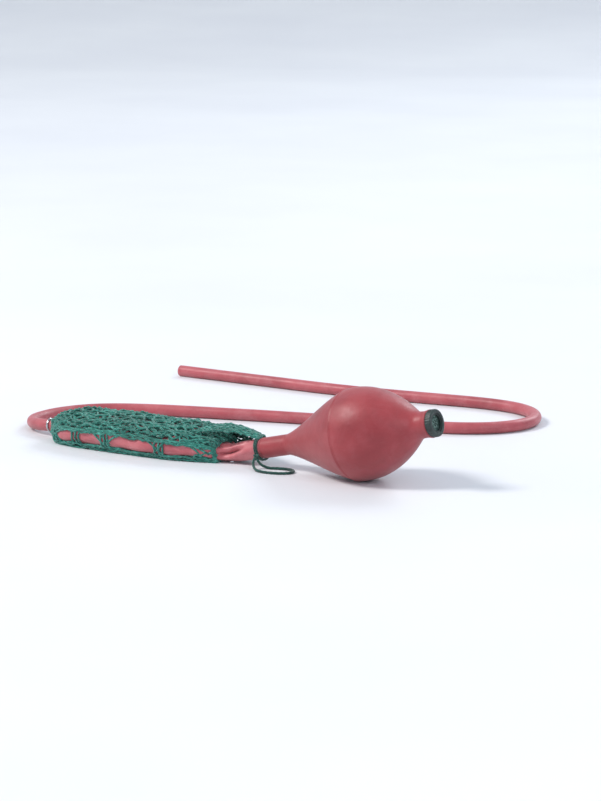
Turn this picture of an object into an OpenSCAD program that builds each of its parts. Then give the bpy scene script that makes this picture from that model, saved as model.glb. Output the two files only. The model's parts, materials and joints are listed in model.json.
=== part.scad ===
/* [Pump bulb] */
// Length of the bulb from neck end to neck end
bulb_length = 110; // [108:1:116]
// Diameter at its widest
bulb_d = 51; // [48:1:54]
// Distance of the widest place from the tied neck's end
widest_s = 65; // [64:1:67]
// Distance of the moulding seam from the tied neck's end
seam_s = 61; // [59:1:63]
// Length over which the dome would close
dome_l = 44; // [42:1:45]
// Outer diameter of the tied neck
tied_neck_d = 11.5; // [11:0.1:12]
// Length of the tied neck
tied_neck_l = 17; // [15:1:19]
// Outer diameter of the valve neck
valve_neck_d = 15; // [14.5:0.1:16]
// Wall of the bulb
bulb_wall = 2.8; // [2.2:0.1:3.2]
// Slope of the bulb's axis as it lies on its belly, in degrees
tilt = 13.5; // [12.5:0.5:14.5]

/* [Pressed patch] */
// Radius of the patch of wall that the thumb presses
press_r = 18; // [14:1:20]
// Distance of the patch's middle from the tied neck's end
press_s = 63; // [61:1:65]
// Gap round the patch
press_gap = 0.4; // [0.3:0.1:0.6]

/* [Valves] */
// Bore of the valve neck
inlet_bore_d = 10; // [9:0.5:10.5]
// Bore of the tied neck and of the bladder's neck
outlet_bore_d = 7.5; // [7:0.1:8]
// Thickness of the inlet valve's flange
flange_l = 3.5; // [2.5:0.5:5]
// Diameter of the inlet valve ball
inlet_ball_d = 5; // [4.6:0.2:5.4]
// Diameter of the outlet valve ball
outlet_ball_d = 4.4; // [4:0.2:4.8]
// Wire of the valve springs
spring_wire = 0.5; // [0.4:0.1:0.6]

/* [Reservoir] */
// Thickness of the slack, netted reservoir
bag_t = 16; // [15:1:18]
// Half width of the reservoir, to the middle of its rounded edge
bag_half_w = 13.5; // [12:0.5:15]
// Thickness of the net, as a plain skin
net_t = 0.7; // [0.5:0.1:1]
// Room between the net and the bladder
net_gap = 0.3; // [0.3:0.1:0.5]
// Diameter of the bladder's far neck
far_neck_d = 9.4; // [9:0.1:9.6]

/* [Hose and strings] */
// Outer diameter of the hose
hose_d = 7; // [6:0.5:8]
// Bore of the hose
hose_bore_d = 4; // [3.5:0.5:5]
// Length of the hose's straight free end
hose_end_l = 22; // [18:1:30]
// Thickness of the drawstring
string_d = 1.6; // [1.2:0.2:2]

/* [Hidden] */
$fn = 48;

// Places along the row's X axis and heights
tie_x = 22;
far_end_x = -123;
far_z = 6.5;
bag_z = bag_t / 2;

// Middles of the reservoir's rounded edges, from its far tip to its shoulder beside the neck
bag_tip_x = -111;
bag_far_x = -107;
bag_near_x = -30;
shoulder_x = -13;
shoulder_half_w = 7;
neck_foot_x = -9;

// Bulb, along its own axis from the tied neck's end
bulb_r = bulb_d / 2;
tied_neck_r = tied_neck_d / 2;
valve_neck_r = valve_neck_d / 2;
inlet_bore_r = inlet_bore_d / 2;
outlet_bore_r = outlet_bore_d / 2;
cone_steps = 10;
dome_steps = 12;
// The dome is a parabola, and the cone rises to meet it at the seam, straighter than a full ease
straight_share = 0.65;
dome_end = widest_s + dome_l * sqrt(1 - valve_neck_r / bulb_r);
function dome_r(s) = bulb_r * (1 - pow((s - widest_s) / dome_l, 2));
function ease(t) = t * t * (3 - 2 * t);
function cone_share(t) = straight_share * t + (1 - straight_share) * ease(t);
function cone_r(s) = tied_neck_r
    + (dome_r(seam_s) - tied_neck_r) * cone_share((s - tied_neck_l) / (seam_s - tied_neck_l));
cone_s = [for (i = [0:cone_steps]) tied_neck_l + (seam_s - tied_neck_l) * i / cone_steps];
dome_s = [for (i = [1:dome_steps]) seam_s + (dome_end - seam_s) * i / dome_steps];
bulb_outline = concat(
    [[0, tied_neck_r]],
    [for (s = cone_s) [s, cone_r(s)]],
    [for (s = dome_s) [s, dome_r(s)]],
    [[bulb_length, valve_neck_r]]
);
// Height of the tied neck's end when the belly rests on the table
tie_z = -min([for (p = bulb_outline) p[0] * sin(tilt) - p[1] * cos(tilt)]);
function inner_r(p) = p[0] < seam_s
    ? max(outlet_bore_r, p[1] - bulb_wall) : max(inlet_bore_r, p[1] - bulb_wall);

// Inlet valve, along the bulb's axis
inlet_start = bulb_length - 16;
inlet_way_r = 3.4;
inlet_shoulder = bulb_length + 0.5;
inlet_mouth = bulb_length + 1.5;
inlet_mouth_r = 5.2;
seat_l = 2;
seat_hole_r = 1.7;
seat_face = inlet_shoulder - seat_l;
ball_gap = 0.03;
inlet_ball_r = inlet_ball_d / 2;
inlet_ball_s = seat_face - ball_gap - sqrt(pow(inlet_ball_r, 2) - pow(seat_hole_r, 2));
cage_start = inlet_start + 2;
cage_l = 2;
cage_gap = 0.02;
groove_depth = 0.4;
groove_l = 1.6;
strainer_t = 0.6;
snap_ring_t = 0.9;

// Outlet valve, along the bulb's axis; the reservoir is on its negative side
outlet_start = -15;
outlet_end = 14;
outlet_way_r = 2.8;
outlet_seat = 10;
outlet_seat_r = 1.6;
outlet_ball_r = outlet_ball_d / 2;
outlet_ball_s = outlet_seat - ball_gap - sqrt(pow(outlet_ball_r, 2) - pow(outlet_seat_r, 2));
stop_l = 2;
stop_s = -1;
stop_hole_r = 1.2;

// Strings and ties
drawstring_s = -3.2;
drawstring_l = 2.6;
drawstring_r = 6.9;
tie_gap = 0.02;
string_knot = [21.6, -7.2, 6.6];
string_knot_back = [20.6, -7.2, 6.2];
knot_r = 1.9;
nipple_r = 3.1;
nipple_hole_r = 1.3;

// Middle line of the drawstring's free loop, which lies on the table
string_points = [
    string_knot, [22.6, -7.4, 4.4], [24.6, -7, 2.4], [28.4, -5.6, 0.9], [32.6, -3.8, 0.8],
    [37, -2.6, 0.8], [41.4, -2.8, 0.8], [44.8, -5.4, 0.8], [45, -9.6, 0.8], [42, -13, 0.8],
    [37, -15, 0.8], [31, -15.6, 0.8], [26, -14.6, 1.2], [22.6, -12, 2.6], [21, -9.6, 4.6],
    string_knot_back
];

// Middle line of the hose, from the nipple's flange to its straight free end
hose_z = hose_d / 2;
hose_points = [
    [-124, 0, far_z], [-132, 0.5, 6], [-139.8, 2.7, 5.3], [-146.6, 7, 4.6], [-152, 13, 4.1],
    [-155.6, 20.2, 3.7], [-157, 28.2, hose_z], [-156.8, 36.4, hose_z], [-155, 44.6, hose_z],
    [-151.8, 52.6, hose_z], [-147.2, 60, hose_z], [-141, 66.6, hose_z], [-132.6, 72.6, hose_z],
    [-121.6, 78.4, hose_z], [-108, 84, hose_z], [-91, 89.8, hose_z], [-72, 95.8, hose_z],
    [-52, 102, hose_z], [-31, 108, hose_z], [-9, 113.8, hose_z], [14, 119.8, hose_z],
    [34, 125, hose_z], [52, 130, hose_z], [68, 136.4, hose_z], [81, 145.8, hose_z],
    [89.6, 158, hose_z], [92.6, 172, hose_z], [89.6, 186, hose_z], [81, 198, hose_z],
    [68, 206, hose_z], [52, 209.4, hose_z], [33, 208.8, hose_z], [13, 206, hose_z],
    [-8, 202.8, hose_z], [-29, 200, hose_z], [-50, 198, hose_z], [-72, 197, hose_z],
    [-98, 197, hose_z], [-126, 197, hose_z], [-156, 197, hose_z]
];
hose_sides = 12;
string_sides = 8;
curve_steps = 2;

// A smooth curve through a list of points, with curve_steps stretches between two of them
function blend_point(a, b, c, d, t) = b + (c - a) * t / 2
    + (2 * a - 5 * b + 4 * c - d) * t * t / 2 + (3 * b - a - 3 * c + d) * t * t * t / 2;
function smooth(p) = let (n = len(p) - 1) concat(
    [for (i = [0:n - 1], k = [0:curve_steps - 1])
        blend_point(p[max(i - 1, 0)], p[i], p[i + 1], p[min(i + 2, n)], k / curve_steps)],
    [p[n]]
);
function unit(v) = v / norm(v);

// A round tube along a curve that is nowhere upright
module sweep(path, r, sides) {
    n = len(path) - 1;
    rings = [for (i = [0:n])
        let (
            ahead = unit(path[min(i + 1, n)] - path[max(i - 1, 0)]),
            side = unit(cross([0, 0, 1], ahead)),
            up = cross(ahead, side)
        )
        for (k = [0:sides - 1])
            path[i] + r * (side * cos(360 * k / sides) + up * sin(360 * k / sides))];
    start = [[for (k = [sides - 1:-1:0]) k]];
    finish = [[for (k = [0:sides - 1]) n * sides + k]];
    walls = [for (i = [0:n - 1], k = [0:sides - 1])
        let (m = (k + 1) % sides)
        [i * sides + k, i * sides + m, (i + 1) * sides + m, (i + 1) * sides + k]];
    polyhedron(
        points = rings,
        faces = [for (f = concat(start, walls, finish)) [for (j = [len(f) - 1:-1:0]) f[j]]]
    );
}

// A spring of round wire, from height 0 to l
module coil_spring(r, l, turns) {
    steps = 12;
    count = turns * steps;
    wire_r = spring_wire / 2;
    sweep(
        [for (i = [0:count])
            [r * cos(360 * i / steps), r * sin(360 * i / steps), wire_r + (l - 2 * wire_r) * i / count]],
        wire_r, 6
    );
}

// Puts a piece drawn upright onto the bulb's sloping axis
module on_bulb_axis() {
    translate([tie_x, 0, tie_z]) rotate([0, 90 - tilt, 0]) children();
}

// Puts a piece drawn upright onto the far neck's level axis, with up pointing towards the hose
module on_far_axis() {
    translate([far_end_x, 0, far_z]) rotate([0, -90, 0]) children();
}

module ring(r_out, r_in, h) {
    difference() {
        cylinder(r = r_out, h = h);
        translate([0, 0, -1]) cylinder(r = r_in, h = h + 2);
    }
}

// A groove cut round a stem, which leaves barbs between two of them
module groove(r, s) {
    translate([0, 0, s]) ring(r + 1, r - groove_depth, groove_l);
}

module bulb_shell() {
    outline = concat(
        [for (p = bulb_outline) [p[1], p[0]]],
        [for (i = [len(bulb_outline) - 1:-1:0]) [inner_r(bulb_outline[i]), bulb_outline[i][0]]]
    );
    rotate_extrude($fn = 72) polygon(outline);
}

module press_cylinder(r) {
    translate([-5, 0, press_s]) rotate([0, -90, 0]) cylinder(r = r, h = bulb_r);
}

module pump_bulb() {
    color("firebrick") on_bulb_axis() difference() {
        bulb_shell();
        press_cylinder(press_r + press_gap);
    }
}

module pump_bulb_crown() {
    color("indianred") on_bulb_axis() intersection() {
        bulb_shell();
        press_cylinder(press_r);
    }
}

module inlet_valve_body() {
    stem_l = bulb_length - inlet_start;
    color("darkslategray") on_bulb_axis() difference() {
        union() {
            translate([0, 0, inlet_start]) cylinder(r = inlet_bore_r, h = stem_l);
            translate([0, 0, bulb_length]) cylinder(r = valve_neck_r, h = flange_l);
        }
        translate([0, 0, inlet_start - 1])
            cylinder(r = inlet_way_r, h = inlet_shoulder - inlet_start + 1);
        translate([0, 0, inlet_shoulder - 1]) cylinder(r = seat_hole_r + 0.6, h = 3);
        translate([0, 0, inlet_mouth]) cylinder(r = inlet_mouth_r, h = flange_l);
        for (s = [3, 7, 11]) groove(inlet_bore_r, inlet_start + s);
    }
}

module inlet_valve_seat() {
    color("dimgray") on_bulb_axis() translate([0, 0, seat_face])
        ring(inlet_way_r - tie_gap, seat_hole_r, seat_l);
}

module inlet_valve_ball() {
    color("silver") on_bulb_axis() translate([0, 0, inlet_ball_s]) sphere(r = inlet_ball_r);
}

module inlet_valve_spring() {
    base = cage_start + cage_l + ball_gap;
    color("silver") on_bulb_axis() translate([0, 0, base])
        coil_spring(1.7, inlet_ball_s - sqrt(pow(inlet_ball_r, 2) - pow(1.7, 2)) - base - 0.2, 4);
}

module inlet_valve_cage() {
    color("dimgray") on_bulb_axis() translate([0, 0, cage_start]) difference() {
        cylinder(r = inlet_way_r - cage_gap, h = cage_l);
        for (a = [0:60:300]) rotate([0, 0, a]) translate([2.1, 0, -1])
            cylinder(r = 0.6, h = cage_l + 2, $fn = 16);
    }
}

module inlet_strainer() {
    color("darkslategray") on_bulb_axis() translate([0, 0, inlet_mouth]) difference() {
        cylinder(r = inlet_mouth_r - tie_gap, h = strainer_t);
        for (a = [0:60:300]) rotate([0, 0, a]) {
            translate([1.4, 0, -1]) cylinder(r = 0.45, h = strainer_t + 2, $fn = 16);
            translate([2.9, 0, -1]) cylinder(r = 0.45, h = strainer_t + 2, $fn = 16);
            rotate([0, 0, 30]) translate([3.4, 0, -1]) cylinder(r = 0.45, h = strainer_t + 2, $fn = 16);
        }
        translate([0, 0, -1]) cylinder(r = 0.45, h = strainer_t + 2, $fn = 16);
    }
}

module inlet_snap_ring() {
    color("black") on_bulb_axis() translate([0, 0, inlet_mouth + strainer_t])
        ring(inlet_mouth_r - tie_gap, inlet_mouth_r - 0.9, snap_ring_t);
}

module outlet_valve_body() {
    color("dimgray") on_bulb_axis() difference() {
        translate([0, 0, outlet_start]) cylinder(r = outlet_bore_r, h = outlet_end - outlet_start);
        translate([0, 0, outlet_start - 1]) cylinder(r = outlet_way_r, h = outlet_seat - outlet_start + 1);
        cylinder(r = outlet_seat_r, h = outlet_end + 1);
        for (s = [-12, -8, 4, 8]) groove(outlet_bore_r, s);
    }
}

module outlet_valve_ball() {
    color("silver") on_bulb_axis() translate([0, 0, outlet_ball_s]) sphere(r = outlet_ball_r);
}

module outlet_valve_spring() {
    base = stop_s + stop_l + ball_gap;
    color("silver") on_bulb_axis() translate([0, 0, base])
        coil_spring(1.5, outlet_ball_s - sqrt(pow(outlet_ball_r, 2) - pow(1.5, 2)) - base - 0.2, 4);
}

module outlet_valve_stop() {
    color("dimgray") on_bulb_axis() translate([0, 0, stop_s])
        ring(outlet_way_r - tie_gap, stop_hole_r, stop_l);
}

// The slack reservoir: a flat pebble with a rounded edge of radius r, narrower at its tied end
module pebble(r) {
    hull() {
        for (x = [bag_far_x, bag_near_x], y = [-bag_half_w, bag_half_w]) translate([x, y, bag_z])
            sphere(r = r, $fn = 32);
        for (y = [-shoulder_half_w, shoulder_half_w]) translate([shoulder_x, y, bag_z])
            sphere(r = r, $fn = 32);
        translate([bag_tip_x, 0, bag_z]) sphere(r = r, $fn = 32);
    }
}

bladder_r = bag_z - net_t - net_gap;

// The neck that is tied on the outlet valve, and its slope down into the bag
module tied_neck_solid(r) {
    on_bulb_axis() translate([0, 0, outlet_start]) cylinder(r = r, h = -outlet_start - 0.2);
    hull() {
        on_bulb_axis() translate([0, 0, outlet_start]) cylinder(r = r, h = 1);
        translate([neck_foot_x, 0, bag_z]) sphere(r = r, $fn = 32);
    }
}

module far_neck_solid(r) {
    on_far_axis() translate([0, 0, -12]) cylinder(r = r, h = 12);
}

module reservoir_bladder() {
    color("palevioletred") difference() {
        union() {
            pebble(bladder_r);
            tied_neck_solid(tied_neck_r);
            far_neck_solid(far_neck_d / 2);
        }
        on_bulb_axis() translate([0, 0, outlet_start]) cylinder(r = outlet_bore_r, h = 1 - outlet_start);
        on_far_axis() translate([0, 0, -13]) cylinder(r = nipple_r, h = 14);
    }
}

module reservoir_net() {
    color("seagreen") difference() {
        pebble(bag_z);
        pebble(bladder_r + net_gap);
        tied_neck_solid(tied_neck_r + net_gap);
        far_neck_solid(far_neck_d / 2 + net_gap);
    }
}

module net_drawstring() {
    color("darkgreen") on_bulb_axis() translate([0, 0, drawstring_s])
        ring(drawstring_r, tied_neck_r + tie_gap, drawstring_l);
}

module drawstring_knot() {
    color("darkgreen") translate((string_knot + string_knot_back) / 2) sphere(r = knot_r);
}

module drawstring_loop() {
    color("darkgreen") sweep(smooth(string_points), string_d / 2, string_sides);
}

module net_end_tie() {
    color("darkgreen") on_far_axis() translate([0, 0, -2.6]) ring(5.4, far_neck_d / 2 + tie_gap, 1.8);
}

module hose_nipple() {
    color("gainsboro") on_far_axis() difference() {
        union() {
            translate([0, 0, -11]) cylinder(r = nipple_r - tie_gap, h = 11);
            cylinder(r = 4, h = 1);
            cylinder(r = hose_bore_d / 2, h = 9);
        }
        translate([0, 0, -12]) cylinder(r = nipple_hole_r, h = 30);
        for (s = [-9, -6]) groove(nipple_r, s);
    }
}

module hose_tie() {
    color("silver") on_far_axis() translate([0, 0, 4.5]) ring(hose_d / 2 + 0.7, hose_d / 2 + tie_gap, 1.4);
}

module hose_run() {
    color("indianred") sweep(smooth(hose_points), hose_d / 2, hose_sides);
}

module hose_end() {
    color("indianred") translate(hose_points[len(hose_points) - 1]) rotate([0, -90, 0])
        ring(hose_d / 2, hose_bore_d / 2, hose_end_l);
}

pump_bulb();
pump_bulb_crown();
inlet_valve_body();
inlet_valve_seat();
inlet_valve_ball();
inlet_valve_spring();
inlet_valve_cage();
inlet_strainer();
inlet_snap_ring();
outlet_valve_body();
outlet_valve_ball();
outlet_valve_spring();
outlet_valve_stop();
reservoir_bladder();
reservoir_net();
net_drawstring();
drawstring_knot();
drawstring_loop();
net_end_tie();
hose_nipple();
hose_tie();
hose_run();
hose_end();
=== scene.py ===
import json
import math
import random

import bpy
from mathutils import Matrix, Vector, noise


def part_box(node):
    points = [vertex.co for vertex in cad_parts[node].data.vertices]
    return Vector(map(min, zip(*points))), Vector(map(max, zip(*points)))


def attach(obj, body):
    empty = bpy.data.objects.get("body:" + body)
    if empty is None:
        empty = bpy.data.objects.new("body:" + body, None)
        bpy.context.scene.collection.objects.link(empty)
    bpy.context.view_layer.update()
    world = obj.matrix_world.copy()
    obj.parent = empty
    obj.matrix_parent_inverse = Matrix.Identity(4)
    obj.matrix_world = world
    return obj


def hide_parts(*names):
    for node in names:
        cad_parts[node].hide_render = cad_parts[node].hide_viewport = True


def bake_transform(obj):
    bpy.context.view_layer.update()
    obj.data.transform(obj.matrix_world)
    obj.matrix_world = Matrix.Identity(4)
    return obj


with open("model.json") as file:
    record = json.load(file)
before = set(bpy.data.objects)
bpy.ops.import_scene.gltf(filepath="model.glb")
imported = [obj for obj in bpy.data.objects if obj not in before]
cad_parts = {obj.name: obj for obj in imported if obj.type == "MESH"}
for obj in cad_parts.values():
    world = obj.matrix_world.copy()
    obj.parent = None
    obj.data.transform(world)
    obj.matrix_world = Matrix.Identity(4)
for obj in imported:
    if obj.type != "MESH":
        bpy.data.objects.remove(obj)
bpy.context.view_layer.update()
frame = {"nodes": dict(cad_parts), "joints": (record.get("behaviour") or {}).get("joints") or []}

MM = 0.001
TAU = 2 * math.pi


# ---------------------------------------------------------------- places from the frame

def joint_axis(name):
    """A joint's direction in the row frame."""
    return Vector(next(j["axis"] for j in frame["joints"] if j["name"] == name)).normalized()


def middle(node):
    low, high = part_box(node)
    return (low + high) / 2


# The pump bulb's own axis: it runs through both valve balls, from the tied neck to the valve neck
BULB_AXIS = -joint_axis("inlet_valve_lift")
BULB_UP = -joint_axis("squeeze")
BULB_SIDE = BULB_UP.cross(BULB_AXIS)

# The bulb's radii, and distances along its axis from the tied neck's end
TIED_NECK_R = 5.75 * MM
VALVE_NECK_R = 7.5 * MM
BULB_R = 25.5 * MM
TIED_NECK_L = 17 * MM
SEAM_S = 61 * MM
WIDEST_S = 65 * MM
DOME_L = 44 * MM
BULB_L = 110 * MM

# The bulb's wall, and the bores that hold the two valves
BULB_WALL = 2.8 * MM
TIED_BORE_R = 3.75 * MM
VALVE_BORE_R = 5 * MM

outlet_ball = middle("outlet_valve_ball")
neck_end_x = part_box("pump_bulb")[0].x - TIED_NECK_R * BULB_UP.x
BULB_ORIGIN = outlet_ball + BULB_AXIS * ((neck_end_x - outlet_ball.x) / BULB_AXIS.x)

# The reservoir's far neck, which is level
FAR_Z = middle("hose_nipple").z
FAR_END_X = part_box("reservoir_bladder")[0].x
FAR_NECK_R = 4.65 * MM
FAR_BORE_R = 3.12 * MM

# Where the drawstring is tied, on the bulb's axis
TIE_S = -1.9 * MM


def on_axis(s, up=0.0, side=0.0):
    """A point at distance s along the bulb's axis, off it by up and side."""
    return BULB_ORIGIN + BULB_AXIS * s + BULB_UP * up + BULB_SIDE * side


# ---------------------------------------------------------------- camera

# Where the photograph was taken from: 33 degrees round to the right of the front, 11 degrees up
CAMERA_AT = Vector((881.3, -1260.9, 333)) * MM
CAMERA_AIM = Vector((-10, 84, 20)) * MM

camera_data = bpy.data.cameras.new("camera")
camera = bpy.data.objects.new("camera", camera_data)
bpy.context.scene.collection.objects.link(camera)
camera_data.sensor_width = 36
camera_data.lens = 127
camera_data.clip_start = 0.05
camera_data.clip_end = 20
camera.location = CAMERA_AT
camera.rotation_euler = (CAMERA_AIM - CAMERA_AT).to_track_quat("-Z", "Y").to_euler()
bpy.context.scene.camera = camera


# ---------------------------------------------------------------- mesh helpers

def make_object(name, verts, faces):
    mesh = bpy.data.meshes.new(name)
    mesh.from_pydata([tuple(v) for v in verts], [], faces)
    mesh.validate()
    mesh.update()
    obj = bpy.data.objects.new(name, mesh)
    bpy.context.scene.collection.objects.link(obj)
    mesh.shade_smooth()
    return obj


def blend_point(a, b, c, d, t):
    """A point of the smooth curve between b and c."""
    return (
        b + (c - a) * (t / 2)
        + (2 * a - 5 * b + 4 * c - d) * (t * t / 2)
        + (3 * b - a - 3 * c + d) * (t * t * t / 2)
    )


def smooth_path(points, steps):
    last = len(points) - 1
    path = []
    for i in range(last):
        a, b, c, d = points[max(i - 1, 0)], points[i], points[i + 1], points[min(i + 2, last)]
        path += [blend_point(a, b, c, d, k / steps) for k in range(steps)]
    return path + [points[last]]


def frames_along(path):
    """A direction, a side and an up vector at each point, with as little turning as possible."""
    last = len(path) - 1
    ahead = [(path[min(i + 1, last)] - path[max(i - 1, 0)]).normalized() for i in range(last + 1)]
    start = Vector((0, 0, 1)) if abs(ahead[0].z) < 0.9 else Vector((1, 0, 0))
    side = start.cross(ahead[0]).normalized()
    found = []
    for direction in ahead:
        side = (side - direction * side.dot(direction)).normalized()
        found.append((direction, side, direction.cross(side)))
    return found


def ring_of(centre, side, up, radius, sides):
    """radius is a number or a function of the angle."""
    angles = [TAU * k / sides for k in range(sides)]
    size = radius if callable(radius) else (lambda angle: radius)
    return [centre + (side * math.cos(a) + up * math.sin(a)) * size(a) for a in angles]


def join_rings(rings, closed=False, offset=0):
    """Quads between rings of equal size. A closed run joins the last ring to the first."""
    sides = len(rings[0])
    count = len(rings) if closed else len(rings) - 1
    faces = []
    for i in range(count):
        j = (i + 1) % len(rings)
        for k in range(sides):
            m = (k + 1) % sides
            faces.append((offset + i * sides + k, offset + i * sides + m,
                          offset + j * sides + m, offset + j * sides + k))
    return faces


def tube_rings(path, radius, sides):
    """radius is a number, or a function of the share of the way along and the angle."""
    rings = []
    last = len(path) - 1
    for i, (_, side, up) in enumerate(frames_along(path)):
        if callable(radius):
            rings.append(ring_of(path[i], side, up, lambda a, i=i: radius(i / last, a), sides))
        else:
            rings.append(ring_of(path[i], side, up, radius, sides))
    return rings


def add_tube(verts, faces, path, radius, sides):
    """Adds a solid, capped tube to a growing mesh."""
    start = len(verts)
    rings = tube_rings(path, radius, sides)
    verts += [v for ring in rings for v in ring]
    faces += join_rings(rings, offset=start)
    faces.append(tuple(start + k for k in range(sides - 1, -1, -1)))
    faces.append(tuple(start + (len(rings) - 1) * sides + k for k in range(sides)))


def hollow_tube(name, path, outer, inner, sides, lip):
    """A tube with a bore all the way and softened rims."""
    out = tube_rings(path, outer, sides)
    into = tube_rings(path, inner, sides)
    rings = out + into[::-1]
    verts = [v for ring in rings for v in ring]
    obj = make_object(name, verts, join_rings(rings, closed=True))
    soften(obj, lip)
    return obj


def soften(obj, width):
    bevel = obj.modifiers.new("soft edges", "BEVEL")
    bevel.width = width
    bevel.segments = 2
    bevel.limit_method = "ANGLE"
    bevel.angle_limit = math.radians(40)
    apply_modifiers(obj)


def apply_modifiers(obj):
    depsgraph = bpy.context.evaluated_depsgraph_get()
    mesh = bpy.data.meshes.new_from_object(obj.evaluated_get(depsgraph))
    old = obj.data
    obj.modifiers.clear()
    obj.data = mesh
    mesh.name = obj.name
    bpy.data.meshes.remove(old)
    mesh.shade_smooth()


def finish_piece(obj, material, body="root", nodes=()):
    obj.data.materials.clear()
    obj.data.materials.append(material)
    if body:
        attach(obj, body)
    if nodes:
        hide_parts(*nodes)
    return obj


# ---------------------------------------------------------------- material helpers

class Nodes:
    """A short way to write a procedural material."""

    def __init__(self, name):
        self.material = bpy.data.materials.new(name)
        self.material.use_nodes = True
        self.tree = self.material.node_tree
        self.shader = self.tree.nodes["Principled BSDF"]

    def add(self, kind, inputs=(), **settings):
        node = self.tree.nodes.new(kind)
        for key, value in settings.items():
            setattr(node, key, value)
        for key, value in dict(inputs).items():
            self.put(node.inputs[key], value)
        return node

    def put(self, socket, value):
        if isinstance(value, bpy.types.NodeSocket):
            self.tree.links.new(value, socket)
        else:
            socket.default_value = value

    def place(self, scale=(1, 1, 1)):
        where = self.add("ShaderNodeTexCoord").outputs["Object"]
        return self.add("ShaderNodeMapping", {"Vector": where, "Scale": scale}).outputs["Vector"]

    def noise(self, scale, detail=4.0, rough=0.55, stretch=(1, 1, 1), distort=0.0):
        return self.add("ShaderNodeTexNoise", {
            "Vector": self.place(stretch), "Scale": scale, "Detail": detail,
            "Roughness": rough, "Distortion": distort,
        }).outputs["Fac"]

    def ramp(self, value, stops):
        """stops are (position, colour or grey)."""
        node = self.add("ShaderNodeValToRGB", {"Fac": value})
        ramp = node.color_ramp
        while len(ramp.elements) < len(stops):
            ramp.elements.new(0.5)
        for element, (position, colour) in zip(ramp.elements, stops):
            element.position = position
            grey = isinstance(colour, (int, float))
            element.color = (colour, colour, colour, 1) if grey else (*colour, 1)
        return node.outputs["Color"]

    def mix(self, share, a, b):
        node = self.add("ShaderNodeMix", data_type="RGBA")
        self.put(node.inputs[0], share)
        self.put(node.inputs[6], a if isinstance(a, bpy.types.NodeSocket) else (*a, 1))
        self.put(node.inputs[7], b if isinstance(b, bpy.types.NodeSocket) else (*b, 1))
        return node.outputs[2]

    def bump(self, height, strength, distance, normal=None):
        node = self.add("ShaderNodeBump", {"Height": height, "Strength": strength, "Distance": distance})
        if normal:
            self.put(node.inputs["Normal"], normal)
        return node.outputs["Normal"]

    def surface(self, colour, rough, normal=None, **sockets):
        self.put(self.shader.inputs["Base Color"], colour)
        self.put(self.shader.inputs["Roughness"], rough)
        if normal:
            self.put(self.shader.inputs["Normal"], normal)
        for key, value in sockets.items():
            self.shader.inputs[key.replace("_", " ")].default_value = value
        return self.material


def rubber(name, deep, usual, pale, bloom, bloom_share, rough_middle):
    """Red laboratory rubber: blotches, a chalky bloom, specks of filler and a fine skin."""
    n = Nodes(name)
    blotch = n.ramp(n.noise(38, 5, 0.6), [(0.3, deep), (0.52, usual), (0.78, pale)])
    chalk = n.ramp(n.noise(95, 6, 0.72, (1, 1.4, 1.1), 0.6), [(0.46, 0.0), (0.78, bloom_share)])
    colour = n.mix(chalk, blotch, bloom)
    specks = n.ramp(n.noise(1500, 2, 0.5), [(0.6, 0.0), (0.68, 0.35)])
    colour = n.mix(specks, colour, deep)
    rough = n.ramp(n.noise(120, 4, 0.6), [(0.25, rough_middle - 0.08), (0.8, rough_middle + 0.14)])
    skin = n.bump(n.noise(1900, 3, 0.6), 0.16, 0.0002)
    dents = n.bump(n.noise(210, 3, 0.5), 0.3, 0.0005, skin)
    return n.surface(colour, rough, dents, Specular_IOR_Level=0.42, Sheen_Weight=0.12,
                     Sheen_Roughness=0.6, Subsurface_Weight=0.0)


def twine(name, dark, usual, pale):
    """Dyed cotton twine: strands of lighter and darker fibre and a little fuzz."""
    n = Nodes(name)
    fibre = n.noise(900, 3, 0.7, (0.35, 1, 1))
    patch = n.noise(60, 3, 0.6)
    colour = n.ramp(fibre, [(0.28, dark), (0.5, usual), (0.74, pale)])
    colour = n.mix(n.ramp(patch, [(0.35, 0.55), (0.62, 0.0)]), colour, dark)
    fuzz = n.bump(n.noise(2600, 3, 0.75), 0.55, 0.0003)
    return n.surface(colour, n.ramp(fibre, [(0.2, 0.72), (0.8, 0.95)]), fuzz,
                     Specular_IOR_Level=0.25, Sheen_Weight=0.35, Sheen_Roughness=0.5)


def ebonite():
    """Hard black rubber with dark green patches painted in at random as a painted reflection of the
    green net, finely scuffed all over.
    """
    n = Nodes("valve_black")
    # Painted reflection: the dark green patches in the black stand for the net's green glinting in the
    # rubber.
    green_glint_patches = n.noise(240, 5, 0.65, distort=0.8)
    colour = n.ramp(green_glint_patches, [(0.35, (0.006, 0.010, 0.010)), (0.56, (0.016, 0.030, 0.027)),
                          (0.75, (0.05, 0.085, 0.07))])
    rough = n.ramp(n.noise(500, 4, 0.7), [(0.3, 0.40), (0.75, 0.56)])
    scuff = n.bump(n.noise(1400, 4, 0.7, (1, 3, 1)), 0.12, 0.0001)
    return n.surface(colour, rough, scuff, Specular_IOR_Level=0.55)


def metal(name, dark, pale, rough_low, rough_high):
    """Dull metal with faint stains."""
    n = Nodes(name)
    stain = n.noise(420, 5, 0.7)
    colour = n.ramp(stain, [(0.3, dark), (0.7, pale)])
    rough = n.ramp(n.noise(900, 4, 0.6), [(0.25, rough_low), (0.8, rough_high)])
    return n.surface(colour, rough, n.bump(stain, 0.12, 0.0001), Metallic=1.0)


def pale_plastic():
    """Off-white plastic, slightly yellowed."""
    n = Nodes("nipple")
    tint = n.ramp(n.noise(180, 4, 0.6), [(0.3, (0.70, 0.66, 0.55)), (0.7, (0.84, 0.82, 0.74))])
    rough = n.ramp(n.noise(600, 3, 0.6), [(0.3, 0.28), (0.8, 0.42)])
    return n.surface(tint, rough, n.bump(n.noise(1200, 3, 0.6), 0.12, 0.0001))


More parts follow.
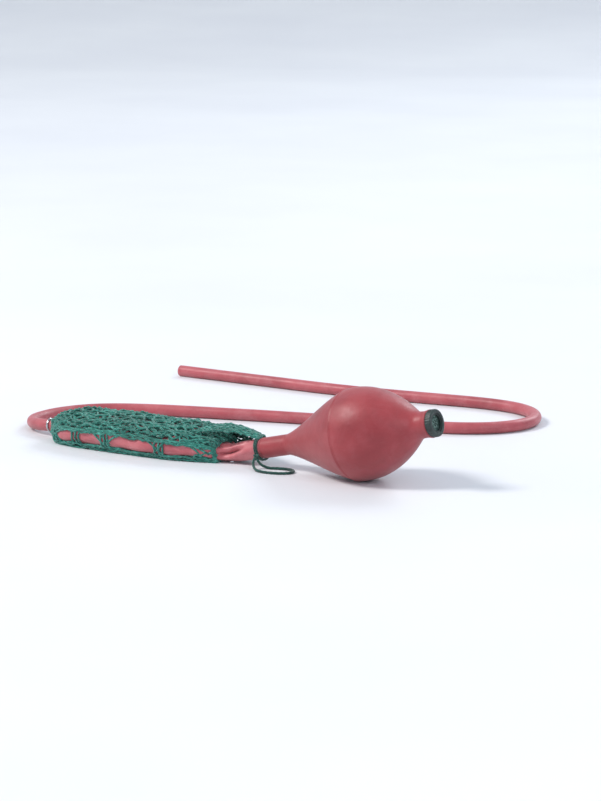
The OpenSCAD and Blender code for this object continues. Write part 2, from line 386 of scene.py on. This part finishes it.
BULB_RUBBER = rubber("bulb_rubber", (0.23, 0.021, 0.027), (0.305, 0.032, 0.039),
                     (0.36, 0.046, 0.053), (0.43, 0.13, 0.15), 0.20, 0.43)
BLADDER_RUBBER = rubber("bladder_rubber", (0.36, 0.070, 0.085), (0.47, 0.105, 0.120),
                        (0.56, 0.160, 0.170), (0.68, 0.34, 0.36), 0.42, 0.42)
HOSE_RUBBER = rubber("hose_rubber", (0.30, 0.045, 0.055), (0.41, 0.075, 0.090),
                     (0.48, 0.105, 0.120), (0.60, 0.28, 0.30), 0.30, 0.44)
NET_TWINE = twine("net_twine", (0.008, 0.070, 0.054), (0.022, 0.200, 0.155), (0.095, 0.400, 0.325))
STRING = twine("string", (0.004, 0.022, 0.018), (0.010, 0.062, 0.048), (0.030, 0.130, 0.100))
EBONITE = ebonite()
STEEL = metal("steel", (0.42, 0.43, 0.44), (0.72, 0.73, 0.74), 0.18, 0.36)
STRAINER = metal("strainer", (0.05, 0.10, 0.085), (0.22, 0.32, 0.28), 0.35, 0.6)
NIPPLE = pale_plastic()


# ---------------------------------------------------------------- cords

HOSE_D = 7 * MM
HOSE_BORE = 4 * MM
HOSE_LIP = 0.25 * MM
# The hose's middle, in mm: out of the reservoir, round to the right behind the bulb, then back
HOSE_POINTS = [
    (-124, 0, 6.5), (-132, 0.5, 6), (-139.8, 2.7, 5.3), (-146.6, 7, 4.6), (-152, 13, 4.1),
    (-155.6, 20.2, 3.7), (-157, 28.2, 3.5), (-156.8, 36.4, 3.5), (-155, 44.6, 3.5),
    (-151.8, 52.6, 3.5), (-147.2, 60, 3.5), (-141, 66.6, 3.5), (-132.6, 72.6, 3.5),
    (-121.6, 78.4, 3.5), (-108, 84, 3.5), (-91, 89.8, 3.5), (-72, 95.8, 3.5),
    (-52, 102, 3.5), (-31, 108, 3.5), (-9, 113.8, 3.5), (14, 119.8, 3.5),
    (34, 125, 3.5), (52, 130, 3.5), (68, 136.4, 3.5), (81, 145.8, 3.5),
    (89.6, 158, 3.5), (92.6, 172, 3.5), (89.6, 186, 3.5), (81, 198, 3.5),
    (68, 206, 3.5), (52, 209.4, 3.5), (33, 208.8, 3.5), (13, 206, 3.5),
    (-8, 202.8, 3.5), (-29, 200, 3.5), (-50, 198, 3.5), (-72, 197, 3.5),
    (-98, 197, 3.5), (-126, 197, 3.5), (-156, 197, 3.5), (-178, 197, 3.5),
]
STRING_D = 1.6 * MM
STRING_TWIST = 0.42
# The loop of the drawstring, in mm: down from the knot, along the table and back up to the knot
STRING_POINTS = [
    (21.6, -7.2, 6.6), (22.6, -7.4, 4.4), (24.6, -7, 2.4), (28.4, -5.6, 0.9), (32.6, -3.8, 0.8),
    (37, -2.6, 0.8), (41.4, -2.8, 0.8), (44.8, -5.4, 0.8), (45, -9.6, 0.8), (42, -13, 0.8),
    (37, -15, 0.8), (31, -15.6, 0.8), (26, -14.6, 1.2), (22.6, -12, 2.6), (21, -9.6, 4.6),
    (20.6, -7.2, 6.2),
]


def in_metres(points):
    return [Vector(p) * MM for p in points]


def path_length(path):
    return sum((b - a).length for a, b in zip(path, path[1:]))


def make_hose():
    path = smooth_path(in_metres(HOSE_POINTS), 5)
    hose = hollow_tube("hose", path, HOSE_D / 2, HOSE_BORE / 2, 28, HOSE_LIP)
    finish_piece(hose, HOSE_RUBBER, "root", ("hose_run", "hose_end"))
    return hose


def laid_string(radius, turns_per_mm, path):
    """The radius of a three-ply string at a share of the way along and an angle round it."""
    length = path_length(path) / MM

    def size(share, angle):
        return radius * (0.93 + 0.09 * math.cos(3 * angle + TAU * turns_per_mm * share * length))
    return size


def make_string():
    path = smooth_path(in_metres(STRING_POINTS), 8)
    verts, faces = [], []
    add_tube(verts, faces, path, laid_string(STRING_D / 2, STRING_TWIST, path), 15)
    string = make_object("drawstring_cord", verts, faces)
    finish_piece(string, STRING, "root", ("drawstring_loop",))
    return string


make_hose()
make_string()


# ---------------------------------------------------------------- pump bulb

SEAM_FLASH = 0.22 * MM
SEAM_GROOVE = 0.28 * MM
SEAM_W = 0.3 * MM
STRAIGHT_SHARE = 0.65
BULB_SIDES = 144
BULB_STEPS = 150
INNER_STEP = 3


def ease(t):
    """A smooth rise from 0 to 1."""
    t = min(1.0, max(0.0, t))
    return t * t * (3 - 2 * t)


def bell(x, width):
    """1 at x = 0, and close to 0 beyond twice the width."""
    return math.exp(-((x / width) ** 2))


def dome_radius(s):
    return BULB_R * (1 - ((s - WIDEST_S) / DOME_L) ** 2)


def bulb_radius(s):
    """Outer radius of the moulded bulb: a neck, a hollow-sided cone, a dome and a flared neck."""
    if s <= SEAM_S:
        t = max(0.0, (s - TIED_NECK_L) / (SEAM_S - TIED_NECK_L))
        share = STRAIGHT_SHARE * t + (1 - STRAIGHT_SHARE) * ease(t)
        return TIED_NECK_R + (dome_radius(SEAM_S) - TIED_NECK_R) * share
    rim = 0.5 * MM * bell(BULB_L - s, 1.6 * MM)
    flare = VALVE_NECK_R - 0.35 * MM + rim
    softness = 0.9 * MM
    return softness * math.log(math.exp(dome_radius(s) / softness) + math.exp(flare / softness))


def bulb_skin_radius(s, angle):
    """The moulded radius with the seam's ridge, the groove beside it and the rubber's unevenness."""
    r = bulb_radius(s)
    r += SEAM_FLASH * max(0.0, 1 - abs(s - SEAM_S) / SEAM_W)
    r -= SEAM_GROOVE * bell(s - SEAM_S + 0.55 * MM, SEAM_W)
    fade_in = min(1.0, (s - 16 * MM) / (12 * MM)) if s > 16 * MM else 0.0
    where = Vector((s * 26, math.cos(angle) * 0.9, math.sin(angle) * 0.9))
    cone = 1.0 if s < SEAM_S else 0.35
    return r + fade_in * cone * 0.35 * MM * noise.noise(where)


def bulb_inner_radius(s):
    bore = TIED_BORE_R if s < SEAM_S else VALVE_BORE_R
    return max(bore, bulb_radius(s) - BULB_WALL)


def bulb_ring(s, radius):
    return ring_of(on_axis(s), BULB_SIDE, BULB_UP, radius, BULB_SIDES)


def make_bulb():
    even = [BULB_L * i / BULB_STEPS for i in range(BULB_STEPS + 1)]
    seam = [SEAM_S + d * MM for d in (-1.1, -0.8, -0.6, -0.4, -0.2, 0, 0.2, 0.4)]
    stations = sorted(set([s for s in even if not -1.3 * MM < s - SEAM_S < 0.6 * MM] + seam))
    inside = [s for s in stations if s in (stations[0], stations[-1])
              or round(s / BULB_L * BULB_STEPS) % INNER_STEP == 0]
    outer_rings = [bulb_ring(s, lambda a, s=s: bulb_skin_radius(s, a)) for s in stations]
    inner_rings = [bulb_ring(s, bulb_inner_radius(s)) for s in inside]
    rings = outer_rings + inner_rings[::-1]
    bulb = make_object("pump_bulb_skin", [v for r in rings for v in r], join_rings(rings, closed=True))
    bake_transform(bulb)
    finish_piece(bulb, BULB_RUBBER, "root", ("pump_bulb", "pump_bulb_crown"))
    return bulb


make_bulb()


# ---------------------------------------------------------------- inlet valve, seen from outside

KNURLS = 30
KNURL_DEPTH = 0.18 * MM


def make_inlet_valve():
    """A barbed stem in the bulb's neck, a knurled flange and a mouth for the strainer."""
    # Distance along the bulb's axis and radius, in mm
    outline = [
        (94, 3.4), (94, 4.5), (94.5, 4.98), (97, 4.98), (97.3, 4.6), (98.6, 4.6), (98.9, 4.98),
        (101, 4.98), (101.3, 4.6), (102.6, 4.6), (102.9, 4.98), (105, 4.98), (105.3, 4.6),
        (106.6, 4.6), (106.9, 4.98), (109.9, 4.98), (110.05, 5.1), (110.05, 7.1), (110.4, 7.5),
        (112.9, 7.5), (113.3, 7.35), (113.5, 7.0), (113.5, 5.6), (113.3, 5.25), (111.5, 5.2),
        (111.5, 2.3), (110.5, 2.3), (110.5, 3.4),
    ]

    def radius(s, r):
        knurled = r > 7.3 and 110.2 < s < 113.0

        def size(angle):
            cut = KNURL_DEPTH if knurled else 0.0
            return r * MM - cut * (0.5 + 0.5 * math.cos(KNURLS * angle)) ** 3
        return size

    rings = [ring_of(on_axis(s * MM), BULB_SIDE, BULB_UP, radius(s, r), 192) for s, r in outline]
    valve = make_object("inlet_valve", [v for r in rings for v in r], join_rings(rings, closed=True))
    valve.data.set_sharp_from_angle(angle=math.radians(35))
    return finish_piece(valve, EBONITE, "root", ("inlet_valve_body",))


make_inlet_valve()


# ---------------------------------------------------------------- springs

def make_spring(name, node, ball, coil_r):
    """A round-wire spring between its seat and a ball."""
    turns = 4
    wire = 0.25 * MM
    low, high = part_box(node)
    half = (high - low) / 2
    length = (half.x * 2 - coil_r * 2 * BULB_AXIS.z) / BULB_AXIS.x
    start = ((low + high) / 2 - BULB_ORIGIN).dot(BULB_AXIS) - length / 2 + wire
    run = length - 2 * wire
    steps = 24
    path = [
        on_axis(start + run * i / (turns * steps), up=coil_r * math.sin(TAU * i / steps),
                side=coil_r * math.cos(TAU * i / steps))
        for i in range(turns * steps + 1)
    ]
    verts, faces = [], []
    add_tube(verts, faces, path, wire, 8)
    spring = make_object(name, verts, faces)
    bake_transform(spring)
    return finish_piece(spring, STEEL, "root", (node,))


make_spring("inlet_spring", "inlet_valve_spring", "inlet_valve_ball", 1.7 * MM)
make_spring("outlet_spring", "outlet_valve_spring", "outlet_valve_ball", 1.5 * MM)


# ---------------------------------------------------------------- reservoir bladder

NECK_JOIN = -12 * MM
# The slack bag from its tied neck to its far neck: x, height, half width and half thickness in mm
BAG_STATIONS = [
    (7, 6.8, 5.9, 5.6), (0, 5.6, 7, 4.4), (-9, 6.3, 12, 5.5), (-20, 7.3, 17.2, 6.7),
    (-31, 7.8, 19.8, 7.2), (-43, 7.9, 20.4, 7.3), (-55, 8, 20.8, 7.4), (-67, 8, 20.8, 7.4),
    (-79, 8, 20.8, 7.4), (-91, 7.8, 20.6, 7.2), (-103, 7.5, 19.8, 6.8), (-112.5, 6.9, 16.8, 6.1),
    (-118.4, 6.6, 10.5, 5.4), (-120.6, 6.5, 4.7, 4.65),
]
BAG_LAST = len(BAG_STATIONS) - 1
# How many stations the bag takes to fill out from its round tied neck, and to close to its far neck
TIED_END_RUN = 2.2
FAR_END_RUN = 1.4
BAG_REST_Z = 0.55 * MM


def bag_section(share):
    """Centre, half width, half thickness and fullness, from the tied neck (0) to the far neck (1)."""
    at = min(max(share, 0.0), 1.0) * BAG_LAST
    i = min(int(at), BAG_LAST - 1)
    rows = [Vector(BAG_STATIONS[min(max(k, 0), BAG_LAST)]) for k in (i - 1, i, i + 1, i + 2)]
    x, z, half_w, half_t = blend_point(*rows, at - i) * MM
    fill = min(ease(at / TIED_END_RUN), ease((BAG_LAST - at) / FAR_END_RUN))
    sway = 0.8 * MM * math.sin(share * 7) * fill
    return Vector((x, sway, z)), half_w, half_t, fill


def share_at(x):
    """The share of the way along at which the bag passes x, in mm."""
    for i, (a, b) in enumerate(zip(BAG_STATIONS, BAG_STATIONS[1:])):
        if b[0] <= x <= a[0]:
            return (i + (a[0] - x) / (a[0] - b[0])) / BAG_LAST
    return 0.0 if x > 0 else 1.0


def bag_point(share, angle, out=0.0):
    """A point on the bag; out lifts it off the rubber. Angle 0 points to +Y and a quarter turn is up."""
    centre, half_w, half_t, fill = bag_section(share)
    c, s = math.cos(angle), math.sin(angle)
    squareness = 1 - 0.24 * fill
    y = math.copysign(abs(c) ** squareness, c) * half_w
    z = math.copysign(abs(s) ** squareness, s) * half_t
    rough = noise.noise(Vector((share * 9, c * 1.7, s * 1.7 + 4))) * 1.5
    rough += noise.noise(Vector((share * 26, c * 4, s * 4 + 9))) * 0.6
    top = 0.5 + 0.5 * s
    lift = (rough * (0.35 + 0.65 * top)) * MM * fill
    pleats = 0.5 * MM * math.cos(7 * angle + 1.2) * (1 - fill) * min(1.0, share * 14)
    normal = Vector((0, y / half_w ** 2, z / half_t ** 2)).normalized()
    fold = neck_fold(centre.x / MM, angle)
    point = centre + Vector((0, y, z)) + normal * (out + lift + pleats + fold)
    point.z = max(point.z, BAG_REST_Z)
    return point


# The fold in the neck: where it starts and how far it runs, in mm along X, and how deep it gets
FOLD_START = -7
FOLD_RUN = 19
FOLD_DEPTH = 3.1 * MM
FOLD_SHALLOW = 1.6 * MM
FOLD_NARROWS_X = 6.5


def neck_fold(x, angle):
    """The deep fold in front of the neck, which climbs towards the tie, with a bulge on each side."""
    along = (x - FOLD_START) / FOLD_RUN
    if not 0 < along < 1:
        return 0.0
    away = angle - (3.42 - 0.75 * along)
    swell = math.sin(math.pi * along)
    most = FOLD_DEPTH if x < FOLD_NARROWS_X else FOLD_DEPTH - (x - FOLD_NARROWS_X) * 0.8 * MM
    depth = max(FOLD_SHALLOW, most) * swell ** 0.6 * bell(away, 0.19)
    bulge = 1.0 * MM * swell * bell(away - 0.62, 0.35)
    bulge += 0.8 * MM * swell * bell(away + 0.50, 0.28)
    return bulge - depth


def neck_ring(s, radius, sides):
    """A ring of the pleated neck round the outlet valve, on the bulb's axis, in the bag's own order."""
    ring = []
    x = on_axis(s).x / MM
    for k in range(sides):
        angle = TAU * k / sides
        fold = 0.0
        if radius > 4.5 * MM:
            away = min(1.0, max(0.0, (-3.5 * MM - s) / (5 * MM)))
            fold = neck_fold(x, angle) + 0.28 * MM * math.cos(6 * angle + 0.7) * away
        ring.append(on_axis(s) + (Vector((0, 1, 0)) * math.cos(angle)
                                  + BULB_UP * math.sin(angle)) * (radius + fold))
    return ring


def make_bladder():
    """The neck over the outlet valve, the slack bag and the far neck, as one wall with a bore."""
    sides = 96
    outer = []
    inner = []
    neck_steps = 12
    for i in range(neck_steps):
        s = -0.3 * MM + (NECK_JOIN + 0.3 * MM) * i / neck_steps
        pinch = 0.35 * MM * bell(s - TIE_S, 1.3 * MM)
        outer.append(neck_ring(s, TIED_NECK_R - pinch, sides))
        inner.append(neck_ring(s, TIED_BORE_R + 0.03 * MM, sides))
    body_steps = 120
    for i in range(body_steps + 1):
        share = i / body_steps
        ring = [bag_point(share, TAU * k / sides) for k in range(sides)]
        outer.append(ring)
        if i % 2 == 0:
            centre = bag_section(share)[0]
            inner.append([
                p + (centre - p).normalized() * min(0.9 * MM, (p - centre).length * 0.3) for p in ring
            ])
    end_steps = 4
    for i in range(1, end_steps + 1):
        x = BAG_STATIONS[-1][0] * MM * (1 - i / end_steps) + FAR_END_X * i / end_steps
        centre = Vector((x, 0, FAR_Z))
        axes = (Vector((0, 1, 0)), Vector((0, 0, 1)))
        outer.append(ring_of(centre, *axes, FAR_NECK_R, sides))
        inner.append(ring_of(centre, *axes, FAR_BORE_R, sides))
    rings = outer + inner[::-1]
    bladder = make_object("bladder", [v for r in rings for v in r], join_rings(rings, closed=True))
    return finish_piece(bladder, BLADDER_RUBBER, "root", ("reservoir_bladder",))


make_bladder()


# ---------------------------------------------------------------- net

NET_ROWS = 26
NET_COLUMNS = 26
TWINE_R = 0.58 * MM
TWINE_REST_Z = TWINE_R + 0.03 * MM
# The large openings along the front, in mm along X, and the angles of their lower and upper edges
OPENINGS = [(-108, -97), (-90, -76), (-69, -40), (-33, -14)]
OPENING_LOW = math.pi + 0.50
OPENING_HIGH = math.pi - 0.17
OPENING_MARGIN = 1.5
HEM_SAG = 1.6 * MM
# Where the net starts and ends along the bag
NET_FIRST = share_at(-5)
NET_LAST = share_at(-120)


def net_angle(column, share):
    """Angle of a column of knots. The columns crowd together on top and stand apart at the front."""
    even = TAU * column / NET_COLUMNS
    return even + 0.30 * math.sin(even + 1.9) + 0.08 * math.sin(3 * even + share * 9)


def keep_off_table(path):
    for point in path:
        point.z = max(point.z, TWINE_REST_Z)


def in_opening(x):
    return any(start - OPENING_MARGIN < x < end + OPENING_MARGIN for start, end in OPENINGS)


def out_of_opening(share, angle, rng):
    """Moves a knot that would hang in an opening to its nearer edge."""
    angle %= TAU
    if in_opening(bag_section(share)[0].x / MM) and OPENING_HIGH < angle < OPENING_LOW:
        middle_angle = (OPENING_HIGH + OPENING_LOW) / 2
        if angle > middle_angle:
            return OPENING_LOW + rng.uniform(0.0, 0.22)
        return OPENING_HIGH - rng.uniform(0.0, 0.16)
    return angle


def hem_sag(angle):
    """How far the net stands off the bag below the openings, where it hangs to the table."""
    below = (angle % TAU) - OPENING_LOW
    if below <= 0:
        return 0.0
    return HEM_SAG * ease(below / 0.25) * (1 - ease((below - 0.8) / 0.5))


def net_knots():
    """The knots, as share along the bag, angle and place, and the seeded source that drew them."""
    rng = random.Random(7)
    knots = {}
    for row in range(NET_ROWS + 1):
        for column in range(NET_COLUMNS):
            share = NET_FIRST + (NET_LAST - NET_FIRST) * row / NET_ROWS
            if 0 < row < NET_ROWS:
                share += rng.uniform(-0.32, 0.32) / NET_ROWS
            shift = 0.5 if row % 2 else 0.0
            angle = net_angle(column + shift + rng.uniform(-0.30, 0.30), share)
            angle = out_of_opening(share, angle, rng)
            lift = (0.45 + 0.9 * rng.random() * max(0.15, math.sin(angle))) * MM + hem_sag(angle)
            knots[row, column] = (share, angle, bag_point(share, angle, lift))
    return knots, rng


def crosses_opening(a, b):
    """Whether twine between two knots would cross an opening."""
    low, high = sorted((a[1], b[1]))
    if not (low < OPENING_HIGH + 0.01 and OPENING_LOW - 0.01 < high < low + math.pi):
        return False
    return in_opening((bag_section(a[0])[0].x + bag_section(b[0])[0].x) / 2 / MM)


def slack_line(a, b, bow, rng, steps=4):
    """A slack length of twine between two knots, bowed a little to one side."""
    side = Vector((rng.uniform(-1, 1), rng.uniform(-1, 1), rng.uniform(0, 1))) * bow
    path = []
    for i in range(steps + 1):
        t = i / steps
        path.append(a.lerp(b, t) + side * math.sin(math.pi * t))
    keep_off_table(path)
    return path


def add_knot(verts, faces, at, size, rng):
    """A small lumpy netting knot."""
    axis = Vector((rng.uniform(-1, 1), rng.uniform(-1, 1), rng.uniform(-0.4, 0.4))).normalized()
    side = axis.orthogonal().normalized()
    up = axis.cross(side)
    start = len(verts)
    sides = 8
    bands = 5
    rings = []
    for i in range(1, bands + 1):
        lat = math.pi * i / (bands + 1)
        rings.append(ring_of(at + axis * (size * math.cos(lat)), side, up,
                             size * math.sin(lat) * rng.uniform(0.82, 1.15), sides))
    top = at + axis * size
    bottom = at - axis * size
    verts += [v for r in rings for v in r] + [top, bottom]
    faces += [tuple(reversed(f)) for f in join_rings(rings, offset=start)]
    last = start + (bands - 1) * sides
    tip = start + bands * sides
    foot = tip + 1
    for k in range(sides):
        m = (k + 1) % sides
        faces.append((tip, start + k, start + m))
        faces.append((foot, last + m, last + k))


def make_net():
    """The net as one mesh, in four passes that share their mesh and their source of chance."""
    knots, rng = net_knots()
    verts, faces = [], []
    for (row, column), here in knots.items():
        at = here[2]
        at.z = max(at.z, TWINE_R * 1.5)
        add_knot(verts, faces, at, TWINE_R * 1.45, rng)
        if row == NET_ROWS:
            continue
        left = column if row % 2 else (column - 1) % NET_COLUMNS
        for neighbour in (left, (left + 1) % NET_COLUMNS):
            there = knots[row + 1, neighbour]
            if not crosses_opening(here, there):
                add_tube(verts, faces, slack_line(at, there[2], 1.0 * MM, rng), TWINE_R, 6)
    add_opening_edges(verts, faces, rng)
    return make_net_top(verts, faces, rng)


def add_opening_edges(verts, faces, rng):
    """The strands above and below the openings, the ones between them, and the hem at the tied end."""
    steps = 60
    edge_share = 0.93
    for edge, spread in ((OPENING_LOW, 0.05), (OPENING_LOW, 0.20), (OPENING_LOW, 0.36),
                         (OPENING_LOW, 0.52), (OPENING_LOW, 0.70), (OPENING_HIGH, -0.05),
                         (OPENING_HIGH, -0.20)):
        path = []
        for i in range(steps + 1):
            share = NET_FIRST + (NET_LAST - NET_FIRST) * i / steps * edge_share
            angle = edge + spread + rng.uniform(-0.07, 0.07)
            path.append(bag_point(share, angle, (0.75 + 0.35 * rng.random()) * MM + hem_sag(angle)))
        keep_off_table(path)
        add_tube(verts, faces, smooth_path(path, 2), TWINE_R * 1.05, 6)
    for start, end in [(-114, -108)] + [(b[0], a[1]) for a, b in zip(OPENINGS, OPENINGS[1:])]:
        for k in range(3):
            x = start + (end - start) * (k + 0.5) / 3
            path = [
                bag_point(share_at(x + rng.uniform(-0.5, 0.5)), OPENING_LOW + 0.1 - 0.9 * i / 6,
                          (0.5 + 0.3 * rng.random()) * MM)
                for i in range(7)
            ]
            add_tube(verts, faces, smooth_path(path, 2), TWINE_R, 6)
    hem_steps = 48
    for turn in range(3):
        path = []
        for i in range(hem_steps + 1):
            angle = TAU * i / hem_steps + turn
            share = NET_FIRST + 0.006 * turn + rng.uniform(-0.002, 0.002)
            path.append(bag_point(share, angle, (0.65 + 0.3 * rng.random()) * MM))
        path.append(path[0])
        keep_off_table(path)
        add_tube(verts, faces, smooth_path(path, 2), TWINE_R * 1.05, 6)


def make_net_top(verts, faces, rng):
    """The net's slack: a second, crumpled run of meshes over the top and the back."""
    rows = 34
    columns = 13
    bunch = {}
    for row in range(rows + 1):
        for column in range(columns):
            share = NET_FIRST + (NET_LAST - NET_FIRST - 0.03) * (row + rng.uniform(-0.4, 0.4)) / rows
            across = (column + (0.5 if row % 2 else 0) + rng.uniform(-0.4, 0.4)) / columns
            angle = 0.08 * math.pi + 0.81 * math.pi * across
            height = (1.0 + 1.6 * rng.random()) * MM * min(1.0, share * 9, (1 - share) * 9)
            bunch[row, column] = bag_point(share, angle, height + 0.3 * MM)
    for (row, column), at in bunch.items():
        add_knot(verts, faces, at, TWINE_R * 1.4, rng)
        if row == rows:
            continue
        left = column if row % 2 else column - 1
        for neighbour in (left, left + 1):
            if 0 <= neighbour < columns:
                path = slack_line(at, bunch[row + 1, neighbour], 1.3 * MM, rng)
                add_tube(verts, faces, path, TWINE_R, 6)
    return make_net_gathers(verts, faces, rng)


SLEEVE_START = share_at(-19)
SLEEVE_END_S = -1.6 * MM
SLEEVE_END_R = 6.3
SLEEVE_BULGE = 2.3


def sleeve_point(u, angle, out):
    """A point of the net between the bag (0) and the drawstring (1), over the back and the top."""
    start = bag_point(SLEEVE_START, angle, 1.9 * MM)
    across = Vector((0, 1, 0)) * math.cos(angle) + BULB_UP * math.sin(angle)
    end = on_axis(SLEEVE_END_S) + across * SLEEVE_END_R * MM
    bulge = math.sin(math.pi * u) * (SLEEVE_BULGE + 0.9 * math.sin(angle)) * MM
    return start.lerp(end, ease(u) * 0.25 + u * 0.75) + across * (bulge + out)


def make_net_gathers(verts, faces, rng):
    """The net's two mouths, gathered under the drawstring and under the far tie."""
    rows = 12
    columns = 17
    first_angle = -28
    sweep = 150
    knots = {}
    for row in range(rows + 1):
        for column in range(columns):
            shift = 0.5 if row % 2 else 0.0
            loose = 0.25 if 0 < row < rows else 0.0
            place = column + shift + rng.uniform(-loose, loose)
            angle = math.radians(first_angle + sweep * place / columns)
            knots[row, column] = sleeve_point(row / rows, angle, 0.8 * MM * loose * 4 * rng.random())
    for (row, column), at in knots.items():
        add_knot(verts, faces, at, TWINE_R * 1.35, rng)
        if row == rows:
            continue
        left = column if row % 2 else column - 1
        for neighbour in (left, left + 1):
            if 0 <= neighbour < columns:
                path = slack_line(at, knots[row + 1, neighbour], 0.8 * MM, rng)
                add_tube(verts, faces, path, TWINE_R, 6)
    for k in range(NET_COLUMNS):
        angle = TAU * k / NET_COLUMNS
        start = bag_point(NET_LAST - 0.02, angle, 0.6 * MM)
        end = Vector((FAR_END_X + 1.7 * MM, math.cos(angle) * 5.0 * MM,
                      FAR_Z + math.sin(angle) * 4.85 * MM))
        path = slack_line(start, end, 0.4 * MM, rng, 5)
        add_tube(verts, faces, path, TWINE_R * 0.9, 6)
    net = make_object("net", verts, faces)
    return finish_piece(net, NET_TWINE, "root", ("reservoir_net",))


make_net()


# ---------------------------------------------------------------- ties, knots and the hose fitting

def wound_string(centre, axis, side, coil_r, string_r, turns, pitch, ply=True):
    """String or wire wound a few turns round a neck."""
    up = axis.cross(side)
    steps = 40
    count = int(turns * steps)
    path = []
    for i in range(count + 1):
        angle = TAU * i / steps
        along = (i / count - 0.5) * pitch * turns
        path.append(centre + axis * along
                    + (side * math.cos(angle) + up * math.sin(angle)) * coil_r)
    verts, faces = [], []
    size = laid_string(string_r, STRING_TWIST, path) if ply else string_r
    add_tube(verts, faces, path, size, 15 if ply else 10)
    return verts, faces


def make_drawstring():
    centre = on_axis(TIE_S)
    verts, faces = wound_string(centre, BULB_AXIS, BULB_SIDE, 6.35 * MM, 0.66 * MM, 2.2, 1.05 * MM)
    band = make_object("net_drawstring_wound", verts, faces)
    return finish_piece(band, STRING, "root", ("net_drawstring",))


def make_knot():
    """A half hitch: a trefoil of the same string, pulled tight."""
    centre = middle("drawstring_knot")
    path = []
    steps = 60
    wide = 0.46
    deep = 0.55
    for i in range(steps):
        t = TAU * i / steps
        path.append(centre + Vector((
            (math.sin(t) + 2 * math.sin(2 * t)) * wide,
            -math.sin(3 * t) * deep,
            (math.cos(t) - 2 * math.cos(2 * t)) * wide,
        )) * MM)
    rings = tube_rings(path + [path[0]], 0.62 * MM, 10)[:-1]
    knot = make_object("drawstring_knot_tied", [v for r in rings for v in r],
                       join_rings(rings, closed=True))
    return finish_piece(knot, STRING, "root", ("drawstring_knot",))


def make_end_tie():
    centre = middle("net_end_tie")
    verts, faces = wound_string(centre, Vector((1, 0, 0)), Vector((0, 1, 0)),
                                4.95 * MM, 0.45 * MM, 2.1, 0.8 * MM)
    tie = make_object("net_end_tie_wound", verts, faces)
    return finish_piece(tie, STRING, "root", ("net_end_tie",))


def make_hose_tie():
    """Soft wire round the hose, its two ends twisted together at the back."""
    centre = middle("hose_tie")
    verts, faces = wound_string(centre, Vector((1, 0, 0)), Vector((0, 1, 0)),
                                3.78 * MM, 0.3 * MM, 2.0, 0.62 * MM, False)
    top = centre + Vector((0, 3.7, 0.4)) * MM
    out = Vector((0, 0.94, -0.34)).normalized()
    across = Vector((1, 0, 0))
    steps = 28
    for start in (0.0, math.pi):
        path = []
        for i in range(steps + 1):
            angle = start + TAU * 2.5 * i / steps
            path.append(top + out * (4.2 * MM * i / steps)
                        + (across * math.cos(angle) + out.cross(across) * math.sin(angle)) * 0.3 * MM)
        add_tube(verts, faces, path, 0.27 * MM, 8)
    tie = make_object("hose_tie_wire", verts, faces)
    return finish_piece(tie, STEEL, "root", ("hose_tie",))


make_drawstring()
make_knot()
make_end_tie()
make_hose_tie()


# ---------------------------------------------------------------- CAD pieces that stay as they are

KEPT = {
    "inlet_valve_seat": EBONITE, "inlet_valve_cage": EBONITE, "inlet_snap_ring": EBONITE,
    "outlet_valve_body": EBONITE, "outlet_valve_stop": EBONITE, "inlet_valve_ball": STEEL,
    "outlet_valve_ball": STEEL, "inlet_strainer": STRAINER, "hose_nipple": NIPPLE,
}
for node_name, kept_material in KEPT.items():
    node_object = frame["nodes"][node_name]
    if not node_object.data.materials:
        node_object.data.materials.append(None)
    for place in node_object.material_slots:
        place.material = kept_material


# ---------------------------------------------------------------- floor and light

def floor_material():
    n = Nodes("floor")
    tint = n.ramp(n.noise(3, 3, 0.5), [(0.3, (0.71, 0.73, 0.76)), (0.7, (0.76, 0.78, 0.80))])
    return n.surface(tint, 0.5, None, Specular_IOR_Level=0.3)


def make_floor():
    """A pale sweep: flat under the object and curving up far behind it, all round."""
    # Radius and height, in metres
    profile = [
        (0.001, 0), (1.5, 0), (3.0, 0), (4.0, 0.08), (4.8, 0.4), (5.3, 1.0), (5.5, 2.0), (5.5, 4.0),
    ]
    rings = [
        ring_of(Vector((0, 0, z)), Vector((1, 0, 0)), Vector((0, 1, 0)), r, 64) for r, z in profile
    ]
    floor = make_object("floor", [v for r in rings for v in r], join_rings(rings))
    floor.data.materials.append(floor_material())


LAMP_AIM = Vector((0, 0.08, 0.02))


def make_lamp(name, at, size, power, colour):
    data = bpy.data.lights.new(name, "AREA")
    data.shape = "DISK"
    data.size = size
    data.energy = power
    data.color = colour
    lamp = bpy.data.objects.new(name, data)
    bpy.context.scene.collection.objects.link(lamp)
    lamp.location = at
    lamp.rotation_euler = (LAMP_AIM - Vector(at)).to_track_quat("-Z", "Y").to_euler()


make_floor()
make_lamp("key", (-2.2, -2.0, 3.2), 1.3, 150, (1.0, 0.97, 0.94))
make_lamp("fill", (3.0, -1.4, 2.1), 2.2, 45, (0.90, 0.94, 1.0))
make_lamp("rim", (0.4, 3.0, 2.2), 1.6, 60, (0.92, 0.96, 1.0))
world = bpy.data.worlds.new("world")
bpy.context.scene.world = world
world.use_nodes = True
background = world.node_tree.nodes["Background"]
background.inputs["Color"].default_value = (0.80, 0.87, 1.0, 1)
background.inputs["Strength"].default_value = 0.54
bpy.context.scene.view_settings.view_transform = "Standard"
